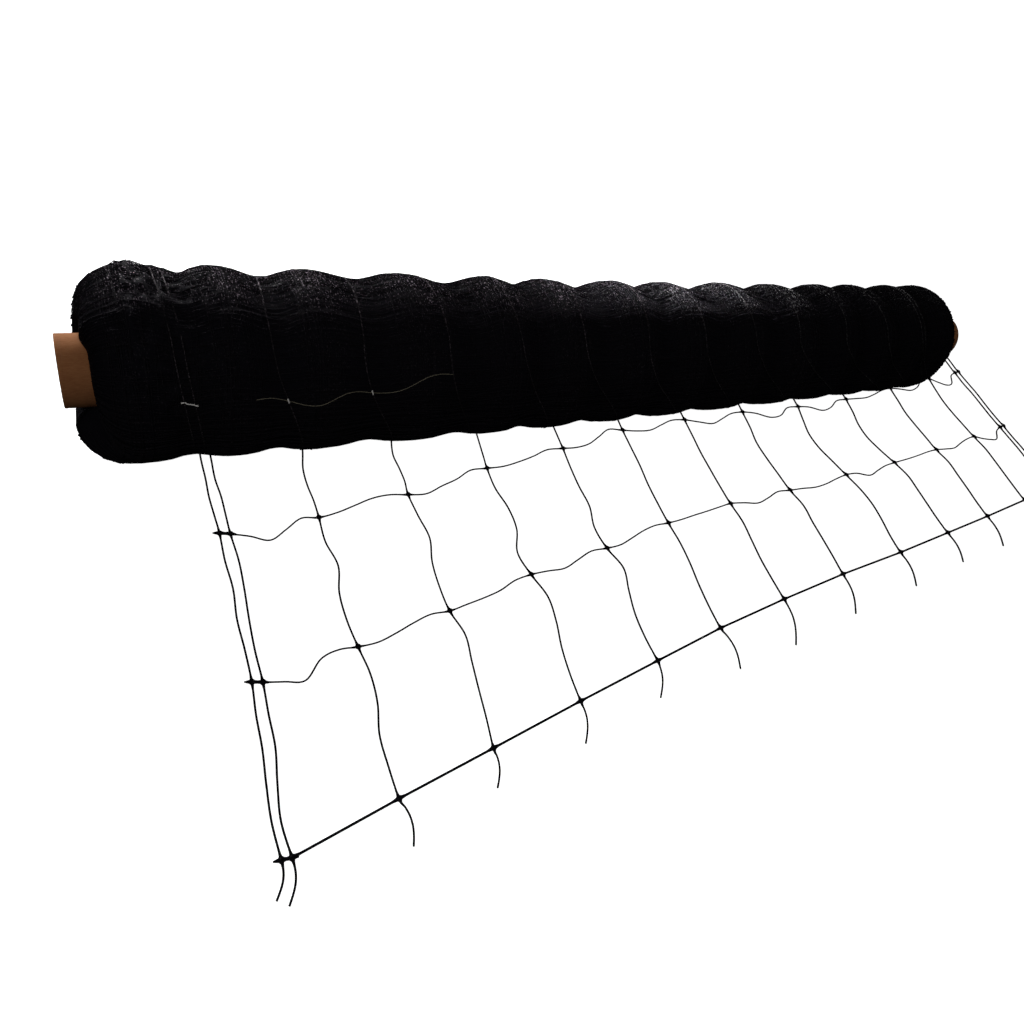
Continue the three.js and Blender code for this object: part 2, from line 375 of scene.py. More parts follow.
@dataclass(frozen=True)
class KraftBoard:
    """Brown kraft cardboard, wound in a spiral, with fibres and a seam at each turn; sizes in metres."""

    name: str = "kraft_board"
    light: Colour = (0.36, 0.158, 0.066)
    dark: Colour = (0.23, 0.088, 0.034)
    shade_edge: Span = (0.3, 0.72)
    axis: Span = (0.005, 0.0992)
    taper: float = 0.0124
    seam: Colour = (0.1, 0.045, 0.02)
    seam_pitch: float = 0.16
    seam_start: float = 10.3
    seam_width: float = 0.012
    seam_stain: float = 0.8
    seam_relief: float = 2.0
    fibre_scale: Triple = (160.0, 900.0, 900.0)
    fibre_rough: float = 0.65
    fibre_share: float = 0.6
    cloud_scale: float = 28.0
    cloud_rough: float = 0.6
    detail: float = 4.0
    bump: float = 0.45
    depth: float = 0.0004
    roughness: float = 0.82
    rough_swing: float = 0.12
    specular: float = 0.05

    def build(self) -> bpy.types.Material:
        """Makes the material.

        Returns:
            The material, with its fibres and its seam.
        """
        material, graph = new_material(self.name)
        place = graph.node("ShaderNodeTexCoord", out="Object")
        x, y, z = graph.split(place)
        turn = graph.math("ARCTAN2", z - self.axis[1] + self.taper * x, y - self.axis[0]) / math.tau
        spiral = graph.math("FRACT", x / self.seam_pitch + turn + self.seam_start)
        seam = 1.0 - graph.ramp(graph.math("ABSOLUTE", spiral - 0.5), 0.0, self.seam_width)
        drawn = graph.vector("MULTIPLY", place, self.fibre_scale)
        fibres = graph.speckle(drawn, 1.0, self.detail, self.fibre_rough)
        clouds = graph.speckle(place, self.cloud_scale, self.detail, self.cloud_rough)
        shade = self.fibre_share * fibres + (1.0 - self.fibre_share) * clouds
        board = graph.mix(graph.ramp(shade, *self.shade_edge), self.dark, self.light)
        inputs = {
            "Base Color": graph.mix(self.seam_stain * seam, board, self.seam),
            "Roughness": self.roughness + self.rough_swing * (fibres - 0.5),
            "Normal": graph.bump(fibres - self.seam_relief * seam, self.bump, self.depth),
            "Specular IOR Level": self.specular,
        }
        finish_material(graph, inputs)
        return material


@dataclass(frozen=True)
class PaleFloor:
    """Plain white studio floor."""

    name: str = "pale_floor"
    white: Colour = (0.93, 0.93, 0.93)
    shade: Colour = (0.91, 0.91, 0.91)
    cloud_scale: float = 1.5
    roughness: float = 0.9
    light: Colour = (1.0, 1.0, 1.0)
    glow: float = 0.97

    def build(self) -> bpy.types.Material:
        """Makes the material.

        Returns:
            The material, which glows a little so that the floor stays white.
        """
        material, graph = new_material(self.name)
        clouds = graph.speckle(graph.node("ShaderNodeTexCoord", out="Object"), self.cloud_scale)
        inputs = {
            "Base Color": graph.mix(clouds, self.white, self.shade),
            "Roughness": self.roughness,
            "Emission Color": _rgba(self.light),
            "Emission Strength": self.glow,
        }
        finish_material(graph, inputs)
        return material


def clamped(share: float) -> float:
    """Keeps a share between 0 and 1."""
    return min(max(share, 0.0), 1.0)


def smooth(value: float, low: float, high: float) -> float:
    """Rises from 0 at low to 1 at high with level ends."""
    share = clamped((value - low) / (high - low))
    return share * share * (3 - 2 * share)


def degrees_off(angle: float, stated: float) -> float:
    """Gives the degrees between two directions."""
    return abs((angle - stated + 180.0) % 360.0 - 180.0)


def place_after(places: Sequence[float], value: float, low: int = 0, high: Optional[int] = None) -> int:
    """Gives the number of the first of rising places at or past a value, from low + 1 to high."""
    last = len(places) - 1 if high is None else high
    return min(max(bisect.bisect_left(places, value, low, last), low + 1), last)


def catmull(points: Sequence[Vector], step: float) -> list[Vector]:
    """Draws a smooth run through points.

    Args:
        points: the points that the run passes.
        step: the distance between points of the run.

    Returns:
        The run's points, the given ones among them.
    """
    padded = [2 * points[0] - points[1], *points, 2 * points[-1] - points[-2]]
    run = [points[0].copy()]
    for a, b, c, d in zip(padded, padded[1:], padded[2:], padded[3:]):
        count = max(1, round((c - b).length / step))
        for i in range(1, count + 1):
            t = i / count
            bend = (2 * a - 5 * b + 4 * c - d) * t * t + (3 * b - a - 3 * c + d) * t ** 3
            run.append(0.5 * (2 * b + (c - a) * t + bend))
    return run


@dataclass(frozen=True)
class RollShape:
    """The wound form of the roll, in millimetres in the part's frame; angles are in degrees from +Y to +Z.

    The near end leans (top_lean, side_lean) and is drawn back beside the tube, most about drawn_way.
    """

    radius: float = 102.2
    taper: float = 0.0124
    ridge_height: float = 4.6
    ridge_lean: float = 1.2
    crest: float = 2.2
    shoulder_cut: float = 7.0
    cut_lean: float = 0.7
    unevenness: float = 1.6
    uneven_waves: Span = (90.0, 57.0)
    press: float = 3.0
    press_reach: Span = (28.0, 90.0)
    axis_y: float = 5.0
    bow_middle: float = 60.0
    bow_low: float = -8.0
    bow_rise: float = 10.0
    bow_span: float = 740.0
    shoulder: float = 58.0
    shoulder_parts: int = 12
    crown: float = 62.0
    dimple: float = 17.0
    dimple_parts: int = 5
    bore: float = 42.35
    outside: float = 82.0
    top_lean: float = 8.0
    side_lean: float = 6.0
    side_way: float = 225.0
    drawn_back: float = 19.0
    drawn_slope: float = 0.24
    drawn_way: float = 160.0
    drawn_reach: Span = (42.0, 60.0)
    ridges: tuple[float, ...] = (
        -685, -584, -486, -355, -232, -139, -23, 80, 198, 317, 423, 517, 610, 690,
    )

    def mean(self, x: float) -> float:
        """Gives the radius between ridge and valley."""
        return self.radius - self.taper * x

    def axis_height(self, x: float) -> float:
        """Gives the height of the roll's axis."""
        return self.mean(x) - self.press

    def outside_y(self, x: float) -> float:
        """Gives the middle of the roll's outside along Y, which is bowed."""
        return self.axis_y + self.bow_low + self.bow_rise * ((x - self.bow_middle) / self.bow_span) ** 2

    def ridged(self, x: float) -> float:
        """Gives the radius of the ridged winding."""
        return self.mean(x) + self.ridge_height * math.cos(math.tau * self._share(x))

    def _share(self, x: float) -> float:
        """Gives the share of the way from one ridge to the next, a little slow at first.

        Args:
            x: place along the roll.

        Returns:
            The share, from 0 to 1.
        """
        after = place_after(self.ridges, x)
        before, following = self.ridges[after - 1], self.ridges[after]
        return clamped((x - before) / (following - before)) ** self.ridge_lean

    def _past(self, x: float) -> float:
        """Gives the share of the way from the first ridge out over the near shoulder."""
        return clamped((self.ridges[0] - x) / self.shoulder)

    def _crest(self, x: float, turn: float) -> float:
        """Gives how far the upper side stands over the ridged winding, and under it at the near shoulder.

        Args:
            x: place along the roll.
            turn: turn about the axis, in radians.

        Returns:
            The height over the ridged winding.
        """
        up = max(math.sin(turn), 0.0) ** 2
        cut = self.shoulder_cut * math.sin(math.pi * self._past(x) ** self.cut_lean)
        return up * (self.crest * abs(math.cos(math.pi * self._share(x))) - cut)

    def profile(self, step: float) -> list[Span]:
        """Walks along the roll from the tube at the near end to the tube at the far end.

        Args:
            step: the distance between points on the ridged part.

        Returns:
            Pairs of x and radius.
        """
        first, last = self.ridges[0], self.ridges[-1]
        count = round((last - first) / step)
        middle = [first + (last - first) * i / count for i in range(count + 1)]
        near = [(first - reach, radius) for reach, radius in self._end(self.ridged(first))]
        far = [(last + reach, radius) for reach, radius in self._end(self.ridged(last))]
        return near[::-1] + [(x, self.ridged(x)) for x in middle] + far

    def _end(self, top: float) -> list[Span]:
        """Gives a rounded end, from its ridge in to the tube.

        Args:
            top: the ridge's radius.

        Returns:
            Pairs of reach past the ridge and radius.
        """
        points = []
        for i in range(1, self.shoulder_parts + 1):
            turn = i / self.shoulder_parts * math.pi / 2
            radius = self.crown + (top - self.crown) * math.cos(turn)
            points.append((self.shoulder * math.sin(turn), radius))
        for i in range(1, self.dimple_parts + 1):
            turn = i / self.dimple_parts * math.pi / 2
            reach = self.shoulder - self.dimple * (1 - math.cos(turn))
            points.append((reach, self.bore + (self.crown - self.bore) * math.cos(turn)))
        return points

    def place(self, x: float, radius: float, angle: float, lift: float = 0.0) -> Vector:
        """Gives a point of the winding.

        Args:
            x: place along the roll.
            radius: the profile's radius there.
            angle: turn about the axis from +Y towards +Z.
            lift: height over the surface.

        Returns:
            The point, in millimetres.
        """
        outer = smooth(radius, self.crown, self.outside)
        free = smooth(degrees_off(angle, FLOORWARDS), *self.press_reach)
        pressed = min(radius, self.mean(x))
        turn = math.radians(angle)
        uneven = self.unevenness * math.sin(3 * turn + x / self.uneven_waves[0])
        uneven *= math.cos(2 * turn - x / self.uneven_waves[1])
        shaped = pressed + free * (radius - pressed + outer * (uneven + self._crest(x, turn))) + lift
        x += self._near_step(x, angle)
        y = self.axis_y + outer * (self.outside_y(x) - self.axis_y) + shaped * math.cos(turn)
        return Vector((x, y, max(self.axis_height(x) + shaped * math.sin(turn), 0.0)))

    def _near_step(self, x: float, angle: float) -> float:
        """Gives the step along +X of the near end, which leans and is drawn back beside the tube.

        Args:
            x: place along the roll.
            angle: turn about the axis from +Y towards +Z.

        Returns:
            The step, 0 away from the near shoulder.
        """
        lean = self.top_lean * max(math.sin(math.radians(angle)), 0.0) ** 2
        lean -= self.side_lean * math.cos(math.radians(angle - self.side_way))
        depth = self.drawn_back + self.drawn_slope * (angle % 360.0 - self.drawn_way)
        beside = 1 - smooth(degrees_off(angle, self.drawn_way), *self.drawn_reach)
        return self._past(x) * (lean + depth * beside)


@dataclass
class Pattern:
    """Runs of points that strands follow, with a girth, a knot size and a phase at each point."""

    points: list[Vector] = field(default_factory=list)
    edges: list[tuple[int, int]] = field(default_factory=list)
    values: dict[str, list[float]] = field(default_factory=lambda: {"girth": [], "knot": [], "phase": []})

    def add(
        self, run: Sequence[Vector], girth: Sequence[float], knots: Sequence[float], phase: float = 0.0
    ) -> None:
        """Adds one run.

        Args:
            run: its points.
            girth: the strand's thickness at each point, as a share of the full one.
            knots: the knot's size at each point, 0 for none.
            phase: a number that tells this run's waves from those of others.
        """
        start = len(self.points)
        self.points.extend(run)
        self.edges.extend((start + i, start + i + 1) for i in range(len(run) - 1))
        self.values["girth"].extend(girth)
        self.values["knot"].extend(knots)
        self.values["phase"].extend([phase] * len(run))

    def to_mesh(self, name: str) -> bpy.types.Mesh:
        """Makes a mesh of edges.

        Args:
            name: the mesh's name.

        Returns:
            The mesh, which carries the values as attributes.
        """
        mesh = bpy.data.meshes.new(name)
        mesh.from_pydata([tuple(p) for p in self.points], self.edges, [])
        for key, numbers in self.values.items():
            mesh.attributes.new(key, "FLOAT", "POINT").data.foreach_set("value", numbers)
        return mesh


class Lay(Enum):
    """How a pattern's points are read."""

    FLAT = "flat"
    WOUND = "wound"


class StrandTree:
    """Geometry nodes that sweep strands along a pattern and set knots on it, flat or wound on a body."""

    INPUTS = (
        ("Geometry", "NodeSocketGeometry"),
        ("Body", "NodeSocketObject"),
        ("Strand Radius", "NodeSocketFloat"),
        ("Sides", "NodeSocketInt"),
        ("Knot Radius", "NodeSocketFloat"),
        ("Knot Rounds", "NodeSocketInt"),
        ("Knot Form", "NodeSocketVector"),
        ("Wave Height", "NodeSocketVector"),
        ("Wave Scale", "NodeSocketVector"),
        ("Seed", "NodeSocketFloat"),
        ("Material", "NodeSocketMaterial"),
    )
    SMALLEST_KNOT = 0.01

    def __init__(self, lay: Lay) -> None:
        """Builds the tree.

        Args:
            lay: how the tree reads its patterns.
        """
        self.tree = bpy.data.node_groups.new(f"strands_{lay.value}", "GeometryNodeTree")
        self.graph = Graph(self.tree)
        for name, kind in self.INPUTS:
            self.tree.interface.new_socket(name=name, in_out="INPUT", socket_type=kind)
        self.tree.interface.new_socket(name="Geometry", in_out="OUTPUT", socket_type="NodeSocketGeometry")
        items = self.tree.interface.items_tree
        self.sockets = {item.name: item.identifier for item in items if item.in_out == "INPUT"}
        self._entry = self.tree.nodes.new("NodeGroupInput")
        self._build(lay)

    def _given(self, name: str) -> Wire:
        """Gives one of the tree's inputs."""
        return Wire(self.graph, next(s for s in self._entry.outputs if s.identifier == self.sockets[name]))

    def _stored(self, name: str, kind: str = "FLOAT") -> Wire:
        """Reads an attribute of the geometry."""
        return self.graph.node("GeometryNodeInputNamedAttribute", {"data_type": kind}, {"Name": name})

    def _knot_radius(self) -> Wire:
        """Gives the knot's radius at a point of the pattern."""
        return self._stored("knot") * self._given("Knot Radius")

    def _build(self, lay: Lay) -> None:
        """Adds the nodes from the pattern to the strands with their material.

        Args:
            lay: how the pattern is read.
        """
        graph = self.graph
        runs = self._given("Geometry") if lay is Lay.FLAT else self._wind(self._given("Geometry"))
        curves = graph.node("GeometryNodeMeshToCurve", inputs={"Mesh": runs})
        circle = {"Resolution": self._given("Sides"), "Radius": 1.0}
        sweep = {
            "Curve": curves,
            "Profile Curve": graph.node("GeometryNodeCurvePrimitiveCircle", inputs=circle),
            "Scale": self._stored("girth") * self._given("Strand Radius"),
            "Fill Caps": True,
        }
        strands = graph.node("GeometryNodeCurveToMesh", inputs=sweep)
        ball = {"Radius": 1.0, "Subdivisions": self._given("Knot Rounds")}
        knots = {
            "Points": runs,
            "Selection": self._stored("knot") > self.SMALLEST_KNOT,
            "Instance": graph.node("GeometryNodeMeshIcoSphere", inputs=ball),
            "Scale": graph.stretch(self._given("Knot Form"), self._knot_radius()),
        }
        beads = graph.node("GeometryNodeInstanceOnPoints", inputs=knots)
        whole = graph.node("GeometryNodeJoinGeometry", inputs={"Geometry": [strands, beads]})
        real = graph.node("GeometryNodeRealizeInstances", inputs={"Geometry": whole})
        round_off = graph.node("GeometryNodeSetShadeSmooth", inputs={"Geometry": real})
        dressed = {"Geometry": round_off, "Material": self._given("Material")}
        last = graph.node("GeometryNodeSetMaterial", inputs=dressed)
        graph.node("NodeGroupOutput", inputs={0: last})

    def _wind(self, pattern: Wire) -> Wire:
        """Lays points of (share along, share around, lift) on the body's surface, with waves.

        Args:
            pattern: the runs, in shares of the body's wrap map.

        Returns:
            The runs in the part's frame, none of them under the floor.
        """
        graph = self.graph
        place = graph.node("GeometryNodeInputPosition")
        along, around, lift = graph.split(place)
        scaled = graph.vector("MULTIPLY", place, self._given("Wave Scale"))
        phase = graph.join(0.0, 0.0, self._stored("phase") + self._given("Seed"))
        swing = 2.0 * (graph.speckle(graph.vector("ADD", scaled, phase), 1.0) - 0.5)
        height_along, height_around, _ = graph.split(self._given("Wave Height"))
        turned = graph.math("FRACT", around + swing * height_around + 1.0)
        spot = graph.join(along + swing * height_along, turned, 0.0)
        settings = {"transform_space": "ORIGINAL"}
        body = graph.node("GeometryNodeObjectInfo", settings, {"Object": self._given("Body")}, "Geometry")
        surface = self._sample(body, graph.node("GeometryNodeInputPosition"), spot)
        outwards = self._sample(body, graph.node("GeometryNodeInputNormal"), spot)
        x, y, z = graph.split(graph.vector("ADD", surface, graph.stretch(outwards, lift)))
        clear = graph.math("MAXIMUM", self._knot_radius(), self._given("Strand Radius"))
        rested = graph.join(x, y, graph.math("MAXIMUM", z, clear))
        return graph.node("GeometryNodeSetPosition", inputs={"Geometry": pattern, "Position": rested})

    def _sample(self, body: Wire, value: Wire, spot: Wire) -> Wire:
        """Reads a vector of the body at a place of its wrap map.

        Args:
            body: the body's mesh.
            value: the vector to read.
            spot: the place on the wrap map.

        Returns:
            The vector there.
        """
        inputs = {
            "Mesh": body,
            "Value": value,
            "Source UV Map": self._stored("wrap", "FLOAT_VECTOR"),
            "Sample UV": spot,
        }
        return self.graph.node("GeometryNodeSampleUVSurface", {"data_type": "FLOAT_VECTOR"}, inputs)

    def make(self, name: str, pattern: Pattern, sizes: Mapping[str, Any]) -> bpy.types.Object:
        """Sweeps a pattern into a plain mesh object.

        Args:
            name: the piece's name.
            pattern: the runs to follow.
            sizes: the tree's other inputs by name.

        Returns:
            The object, with no modifier left on it.
        """
        piece = bpy.data.objects.new(name, pattern.to_mesh(f"{name}_runs"))
        bpy.context.scene.collection.objects.link(piece)
        modifier = piece.modifiers.new("strands", "NODES")
        modifier.node_group = self.tree
        for key, value in sizes.items():
            modifier[self.sockets[key]] = value
        seen = piece.evaluated_get(bpy.context.evaluated_depsgraph_get())
        mesh = bpy.data.meshes.new_from_object(seen)
        piece.modifiers.clear()
        piece.data = mesh
        mesh.name = name
        return piece


def surface_object(
    name: str,
    rings: Sequence[Sequence[Vector]],
    material: bpy.types.Material,
    shares: Optional[Sequence[float]] = None,
) -> bpy.types.Object:
    """Makes a closed body from rings of points that go round an axis and close on themselves.

    Args:
        name: the object's name.
        rings: the rings, in millimetres; the last is joined to the first.
        material: the finish.
        shares: each ring's share along the body, for a wrap map.

    Returns:
        The object, at the origin.
    """
    sides = len(rings[0])
    points = [tuple(point * MM) for ring in rings for point in ring]
    faces, wraps = [], []
    for i in range(len(rings)):
        following = (i + 1) % len(rings)
        here, there = i * sides, following * sides
        for j in range(sides):
            k = (j + 1) % sides
            faces.append((here + j, here + k, there + k, there + j))
            if shares:
                start, end = (shares[i], shares[following]) if following else PAST_THE_WRAP
                low, high = j / sides, (j + 1) / sides
                wraps.extend([(start, low), (start, high), (end, high), (end, low)])
    mesh = bpy.data.meshes.new(name)
    mesh.from_pydata(points, [], faces)
    if shares:
        layer = mesh.uv_layers.new(name="wrap")
        layer.data.foreach_set("uv", [number for pair in wraps for number in pair])
    mesh.materials.append(material)
    mesh.polygons.foreach_set("use_smooth", [True] * len(mesh.polygons))
    made = bpy.data.objects.new(name, mesh)
    bpy.context.scene.collection.objects.link(made)
    return made


def enrol(piece: bpy.types.Object, slot: str, *replaced: str) -> None:
    """Puts a finished piece on the part's body.

    Args:
        piece: the piece.
        slot: a material slot of the record; not used.
        replaced: the nodes of the frame that it stands for.
    """
    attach(piece, BODY)
    if replaced:
        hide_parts(*replaced)
    LOG.info("%s: %d faces", piece.name, len(piece.data.polygons))


@dataclass
class CoreTube:
    """The cardboard tube, with rounded cut ends that show its plies; sizes in millimetres.

    A point of the plies is a share of the wall from the bore outwards, with 1 at a sunk joint of two plies.
    """

    shape: RollShape
    outer: float = 42.0
    inner: float = 38.0
    near: float = -757.0
    far: float = 815.0
    round_off: float = 0.7
    corner: float = 0.3
    ply: float = 0.35
    plies: tuple[Span, ...] = (
        (0.12, 0.0), (0.3, 0.0), (0.33, 1.0), (0.36, 0.0), (0.6, 0.0), (0.63, 1.0), (0.66, 0.0),
    )
    bore_step: float = 30.0
    out_of_round: float = 0.18
    twist: float = 300.0
    sides: int = 96
    bays: int = 60

    def build(self, board: bpy.types.Material) -> None:
        """Makes the tube and lets it stand for its solid.

        Args:
            board: the tube's finish.
        """
        length = self.far - self.near
        wall = [(self.near + length * i / self.bays, self.outer) for i in range(1, self.bays)]
        bore = [(self.far - self.bore_step, self.inner), (self.near + self.bore_step, self.inner)]
        profile = [*self._end(self.near, 1.0), *wall, *reversed(self._end(self.far, -1.0)), *bore]
        rings = [self._ring(x, radius) for x, radius in profile]
        enrol(surface_object("core_tube_board", rings, board), BOARD_SLOT, "core_tube")

    def _end(self, x: float, inwards: float) -> list[Span]:
        """Gives one cut end, from the bore out to the outside.

        Args:
            x: the place of the end along the tube.
            inwards: 1 or -1, the direction along X to the tube's middle.

        Returns:
            Pairs of x and radius.
        """
        wall = self.outer - self.inner
        corner = self.round_off * self.corner
        points = [(x + inwards * self.round_off, self.inner)]
        points += [(x + inwards * self.ply * sunk, self.inner + wall * share) for share, sunk in self.plies]
        points.append((x, self.outer - self.round_off))
        points.append((x + inwards * corner, self.outer - corner))
        points.append((x + inwards * self.round_off, self.outer))
        return points

    def _ring(self, x: float, radius: float) -> list[Vector]:
        """Gives one ring of the tube, a little out of round.

        Args:
            x: place along the tube.
            radius: the ring's mean radius.

        Returns:
            The ring's points.
        """
        height = self.shape.axis_height(x)
        ring = []
        for i in range(self.sides):
            turn = math.tau * i / self.sides
            wide = radius + self.out_of_round * math.sin(2 * turn + x / self.twist)
            y = self.shape.axis_y + wide * math.cos(turn)
            ring.append(Vector((x, y, height + wide * math.sin(turn))))
        return ring


@dataclass(frozen=True)
class WoundStrand:
    """One sort of strand on the roll: its sizes in millimetres, its waves in shares of the wrap map."""

    radius: float
    knot: float
    knot_chance: float
    knot_size: Span
    lift: Span
    points: int
    seed: float
    wave_height: Triple
    wave_scale: Triple
    sides: int = 3
    knot_rounds: int = 1

    def inputs(self, body: bpy.types.Object, finish: bpy.types.Material) -> dict[str, Any]:
        """Gives the strand tree's inputs.

        Args:
            body: the body that the strands are wound on.
            finish: their material.

        Returns:
            The inputs by name.
        """
        return {
            "Body": body,
            "Strand Radius": self.radius * MM,
            "Sides": self.sides,
            "Knot Radius": self.knot * MM,
            "Knot Rounds": self.knot_rounds,
            "Knot Form": ROUND_KNOT,
            "Wave Height": self.wave_height,
            "Wave Scale": self.wave_scale,
            "Seed": self.seed,
            "Material": finish,
        }

    def draw_knot(self, chance: random.Random) -> float:
        """Draws whether a point has a knot, and gives its size or 0."""
        return chance.uniform(*self.knot_size) if chance.random() < self.knot_chance else 0.0


@dataclass
class Winding:
    """The wound net: a dark body of inner turns, with strands along the roll and turns around it.

    Sizes are in millimetres. The starts and ends of the cross strands are shares of the way along the roll.
    """

    shape: RollShape
    seed: int = 23
    sides: int = 120
    ring_step: float = 5.5
    sunk: float = 0.9
    bore_edge: float = 1.0
    lump: float = 0.9
    lump_size: Span = (10.0, 14.0)
    lump_clear: Span = (25.0, 70.0)
    bunch: float = 9.0
    bunch_x: float = -650.0
    bunch_reach: float = 50.0
    bunch_clear: Span = (85.0, 130.0)
    phases: Span = (0.0, 60.0)
    cross: WoundStrand = WoundStrand(
        radius=0.62,
        knot=1.15,
        knot_chance=0.32,
        knot_size=(0.7, 1.3),
        lift=(0.3, 1.5),
        points=104,
        seed=3.0,
        wave_height=(0.0, 0.011, 0.0),
        wave_scale=(16.0, 5.0, 0.0),
    )
    cross_count: int = 250
    cross_start: Span = (0.022, 0.036)
    cross_end: Span = (0.966, 0.978)
    cross_knots_from: float = 0.93
    drape: Span = (2.0, 11.0)
    turn: WoundStrand = WoundStrand(
        radius=0.75,
        knot=1.3,
        knot_chance=0.1,
        knot_size=(0.6, 1.2),
        lift=(0.2, 1.3),
        points=52,
        seed=8.0,
        wave_height=(0.004, 0.0, 0.0),
        wave_scale=(4.0, 5.0, 0.0),
    )
    turns_per_ridge: int = 17
    turn_spread: float = 17.0
    turn_lean: float = 0.006
    stray_turns: int = 46
    stray_reach: float = 30.0

    def build(self, wound: bpy.types.Material, strand: bpy.types.Material) -> None:
        """Makes the body and the strands on it.

        Args:
            wound: the body's finish.
            strand: the strands' finish.
        """
        chance = random.Random(self.seed)
        profile = self.shape.profile(self.ring_step)
        shares = self._shares(profile)
        rings = [self._ring(x, radius) for x, radius in profile]
        body = surface_object("wound_net_body", rings, wound, shares)
        enrol(body, PLASTIC_SLOT, "wound_net")
        tree = StrandTree(Lay.WOUND)
        cross = self._cross(chance, profile, shares)
        enrol(tree.make("wound_cross_strands", cross, self.cross.inputs(body, strand)), PLASTIC_SLOT)
        turns = self._turns(chance, profile, shares)
        enrol(tree.make("wound_turns", turns, self.turn.inputs(body, strand)), PLASTIC_SLOT)

    @staticmethod
    def _shares(profile: Sequence[Span]) -> list[float]:
        """Gives each profile point's share of the way along the profile.

        Args:
            profile: pairs of x and radius.

        Returns:
            The shares, from 0 to 1.
        """
        runs = [0.0]
        for (x, r), (next_x, next_r) in zip(profile, profile[1:]):
            runs.append(runs[-1] + math.hypot(next_x - x, next_r - r))
        return [run / runs[-1] for run in runs]

    def _ring(self, x: float, radius: float) -> list[Vector]:
        """Gives one ring of the body, just under the strands, with lumps where the net is bunched.

        Args:
            x: place along the roll.
            radius: the profile's radius there.

        Returns:
            The ring's points.
        """
        long, wide = self.lump_size
        bunched = math.exp(-(((x - self.bunch_x) / self.bunch_reach) ** 2))
        ring = []
        for i in range(self.sides):
            angle = FLOORWARDS + 360.0 * i / self.sides
            turn = math.radians(angle)
            off_floor = degrees_off(angle, FLOORWARDS)
            spot = Vector((x / long, radius * math.cos(turn) / wide, radius * math.sin(turn) / wide))
            height = self.lump + self.bunch * smooth(off_floor, *self.bunch_clear) * bunched
            lift = height * smooth(off_floor, *self.lump_clear) * noise.noise(spot) - self.sunk
            at_tube = radius <= self.shape.bore + self.bore_edge
            ring.append(self.shape.place(x, radius, angle, 0.0 if at_tube else lift))
        return ring

    def _cross(self, chance: random.Random, profile: Sequence[Span], shares: Sequence[float]) -> Pattern:
        """Gives the strands that run along the roll, draped between the ridges and knotted on them.

        Args:
            chance: the source of random numbers.
            profile: pairs of x and radius.
            shares: each pair's share of the way along.

        Returns:
            The strands, in shares of the wrap map.
        """
        pattern = Pattern()
        girth = math.tau * self.shape.radius
        count = self.cross.points
        for i in range(self.cross_count):
            around = (i + chance.uniform(-0.5, 0.5)) / self.cross_count
            lift = chance.uniform(*self.cross.lift) * MM
            drape = chance.uniform(*self.drape) / girth
            start = chance.uniform(*self.cross_start)
            end = chance.uniform(*self.cross_end)
            run, sizes = [], []
            for j in range(count):
                along = start + (end - start) * j / (count - 1)
                x = profile[place_after(shares, along)][0]
                raised = (self.shape.ridged(x) - self.shape.mean(x)) / self.shape.ridge_height
                sizes.append(self.cross.draw_knot(chance) if raised > self.cross_knots_from else 0.0)
                run.append(Vector((along, around + drape * (0.5 - 0.5 * raised), lift)))
            pattern.add(run, [1.0] * len(run), sizes, chance.uniform(*self.phases))
        return pattern

    def _turns(self, chance: random.Random, profile: Sequence[Span], shares: Sequence[float]) -> Pattern:
        """Gives the strands that go round the roll, piled on the ridges, with some astray between them.

        Args:
            chance: the source of random numbers.
            profile: pairs of x and radius.
            shares: each pair's share of the way along.

        Returns:
            The strands, in shares of the wrap map.
        """
        pattern = Pattern()
        piled = [ridge for ridge in self.shape.ridges for _ in range(self.turns_per_ridge)]
        spots = [chance.gauss(ridge, self.turn_spread) for ridge in piled]
        first = self.shape.ridges[0] - self.stray_reach
        last = self.shape.ridges[-1] + self.stray_reach
        spots += [chance.uniform(first, last) for _ in range(self.stray_turns)]
        xs = [x for x, _ in profile]
        low, high = xs.index(min(xs)), xs.index(max(xs))
        for spot in spots:
            after = place_after(xs, spot, low, high)
            part = clamped((spot - xs[after - 1]) / (xs[after] - xs[after - 1]))
            along = shares[after - 1] + (shares[after] - shares[after - 1]) * part
            lift = chance.uniform(*self.turn.lift) * MM
            lean = chance.uniform(-self.turn_lean, self.turn_lean)
            run, sizes = [], []
            for j in range(self.turn.points + 1):
                around = j / self.turn.points
                run.append(Vector((along + lean * math.sin(math.tau * around), around, lift)))
                sizes.append(self.turn.draw_knot(chance))
            pattern.add(run, [1.0] * len(run), sizes, chance.uniform(*self.phases))
        return pattern


Bends = tuple[float, float, float, float]
STRAIGHT: Bends = (0.0, 0.0, 0.0, 0.0)


@dataclass(frozen=True)
class NetStrand:
    """One strand along the net, in millimetres.

    x is its place on the second cross strand, at_first and at_edge its steps sideways on the first one and
    on the cut edge, and root its step at the roll; first, second and edge are their distances from the
    roll's axis, and tail and sway its cut end. Bends are its swings to the side at the fifths of a cell.
    """

    x: float
    at_first: float
    at_edge: float
    root: float
    first: float
    second: float
    edge: float
    tail: float
    sway: float
    first_cell: Bends = STRAIGHT
    second_cell: Bends = STRAIGHT
    lead: Bends = STRAIGHT

    def knots(self) -> list[Vector]:
        """Gives its knots on the two cross strands and the cut edge."""
        return [
            Vector((self.x + self.at_first, -self.first, 0.0)),
            Vector((self.x, -self.second, 0.0)),
            Vector((self.x + self.at_edge, -self.edge, 0.0)),
        ]


